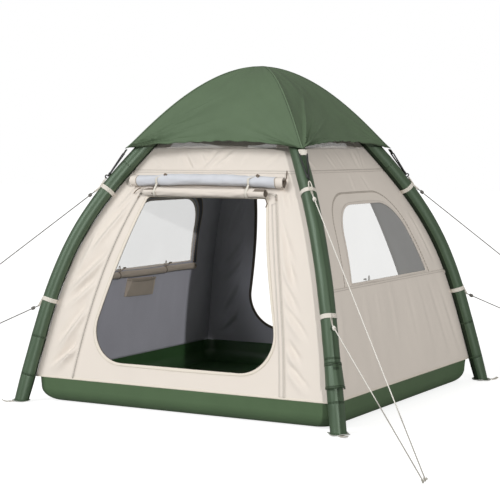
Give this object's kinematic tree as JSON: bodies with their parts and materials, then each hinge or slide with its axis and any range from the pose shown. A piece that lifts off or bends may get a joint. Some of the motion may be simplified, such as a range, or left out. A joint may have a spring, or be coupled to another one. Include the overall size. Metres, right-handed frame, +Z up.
{
  "type": "inflatable camping tent",
  "caption": "Inflatable dome tent: crossed air beams carry a square cabin with rolled doors, clear windows, a tub floor and a lift-off fly over the crown.",
  "frame": {"origin": "on the ground under the crown, at the middle of the square plan", "axes": "+Z up; -Y towards the front door; +X to the right as seen from the front door"},
  "size_m": [3.0574, 3.0571, 2],
  "materials": {
    "bladder_film": "smooth film",
    "beam_sleeve": "satin coated weave",
    "wall_cloth": "matte polycotton",
    "fly_cloth": "satin coated weave",
    "floor_sheet": "glossy coated sheet",
    "webbing": "woven webbing",
    "guy_cord": "braided cord",
    "roof_mesh": "fine mesh",
    "mesh_roll": "rolled fine mesh",
    "window_film": "clear film",
    "blind_cloth": "matte weave",
    "foot_rubber": "matte",
    "hard_plastic": "matte",
    "zip_metal": "satin"
  },
  "bodies": {
    "tent": {"air_bladder": "bladder_film", "beam_sleeve_back_left": "beam_sleeve", "beam_sleeve_back_right": "beam_sleeve", "beam_sleeve_front_left": "beam_sleeve", "beam_sleeve_front_right": "beam_sleeve", "blind_roll_left": "blind_cloth", "blind_roll_right": "blind_cloth", "crown_sleeve": "beam_sleeve", "door_roll_back": "wall_cloth", "door_roll_front": "wall_cloth", "floor_tub": "floor_sheet", "foot_patch_back_left": "foot_rubber", "foot_patch_back_right": "foot_rubber", "foot_patch_front_left": "foot_rubber", "foot_patch_front_right": "foot_rubber", "guy_line_lower_back_right": "guy_cord", "guy_line_lower_front_left": "guy_cord", "guy_line_lower_front_right": "guy_cord", "guy_line_upper_back_right": "guy_cord", "guy_line_upper_front_left": "guy_cord", "guy_line_upper_front_right": "guy_cord", "mesh_roll_back": "mesh_roll", "mesh_roll_front": "mesh_roll", "roof_mesh": "roof_mesh", "storage_pocket": "blind_cloth", "valve_body": "hard_plastic", "wall_back": "wall_cloth", "wall_front": "wall_cloth", "wall_left": "wall_cloth", "wall_right": "wall_cloth", "webbing_band_lower_back_left": "webbing", "webbing_band_lower_back_right": "webbing", "webbing_band_lower_front_left": "webbing", "webbing_band_lower_front_right": "webbing", "webbing_band_upper_back_left": "webbing", "webbing_band_upper_back_right": "webbing", "webbing_band_upper_front_left": "webbing", "webbing_band_upper_front_right": "webbing", "window_pane_left": "window_film", "window_pane_right": "window_film"},
    "fly": {"fly_canopy": "fly_cloth", "fly_tie_back_left": "webbing", "fly_tie_back_right": "webbing", "fly_tie_front_left": "webbing", "fly_tie_front_right": "webbing"},
    "flap": {"valve_flap": "beam_sleeve"},
    "cap": {"valve_cap": "hard_plastic"},
    "runner_upper_front_right": {"guy_runner_upper_front_right": "hard_plastic"},
    "runner_lower_front_right": {"guy_runner_lower_front_right": "hard_plastic"},
    "runner_upper_front_left": {"guy_runner_upper_front_left": "hard_plastic"},
    "runner_lower_front_left": {"guy_runner_lower_front_left": "hard_plastic"},
    "runner_upper_back_right": {"guy_runner_upper_back_right": "hard_plastic"},
    "runner_lower_back_right": {"guy_runner_lower_back_right": "hard_plastic"},
    "slider_front_left": {"zip_slider_front_left": "zip_metal"},
    "slider_front_right": {"zip_slider_front_right": "zip_metal"},
    "slider_back_left": {"zip_slider_back_left": "zip_metal"},
    "slider_back_right": {"zip_slider_back_right": "zip_metal"}
  },
  "joints": [
    {"name": "fly_lift", "type": "slide", "parent": "tent", "child": "fly", "axis": [0, 0, 1], "range_m": [0, 0.6]},
    {"name": "flap_hinge", "type": "hinge", "parent": "tent", "child": "flap", "pos_m": [1.0081, -1.0081, 0.3791], "axis": [-0.7071, -0.7071, 0], "range_deg": [0, 80]},
    {"name": "cap_turn", "type": "hinge", "parent": "tent", "child": "cap", "pos_m": [0.9931, -0.9931, 0.285], "axis": [0.6799, -0.6799, 0.2748], "range_deg": [0, 270]},
    {"name": "runner_slide_upper_front_right", "type": "slide", "parent": "tent", "child": "runner_upper_front_right", "axis": [0.5679, -0.5645, -0.5991], "range_m": [0, 0.35]},
    {"name": "runner_slide_lower_front_right", "type": "slide", "parent": "tent", "child": "runner_lower_front_right", "axis": [0.6475, -0.6525, -0.3938], "range_m": [0, 0.35]},
    {"name": "runner_slide_upper_front_left", "type": "slide", "parent": "tent", "child": "runner_upper_front_left", "axis": [-0.5662, -0.5662, -0.5991], "range_m": [0, 0.35]},
    {"name": "runner_slide_lower_front_left", "type": "slide", "parent": "tent", "child": "runner_lower_front_left", "axis": [-0.65, -0.65, -0.3938], "range_m": [0, 0.2]},
    {"name": "runner_slide_upper_back_right", "type": "slide", "parent": "tent", "child": "runner_upper_back_right", "axis": [0.5662, 0.5662, -0.5991], "range_m": [0, 0.35]},
    {"name": "runner_slide_lower_back_right", "type": "slide", "parent": "tent", "child": "runner_lower_back_right", "axis": [0.65, 0.65, -0.3938], "range_m": [0, 0.2]},
    {"name": "zip_slide_front_left", "type": "slide", "parent": "tent", "child": "slider_front_left", "axis": [-0.2711, -0.4802, -0.8342], "range_m": [0, 0.12]},
    {"name": "zip_slide_front_right", "type": "slide", "parent": "tent", "child": "slider_front_right", "axis": [0.2711, -0.4802, -0.8342], "range_m": [0, 0.12]},
    {"name": "zip_slide_back_left", "type": "slide", "parent": "tent", "child": "slider_back_left", "axis": [0.2711, 0.4802, -0.8342], "range_m": [0, 0.12]},
    {"name": "zip_slide_back_right", "type": "slide", "parent": "tent", "child": "slider_back_right", "axis": [-0.2711, 0.4802, -0.8342], "range_m": [0, 0.12]}
  ]
}
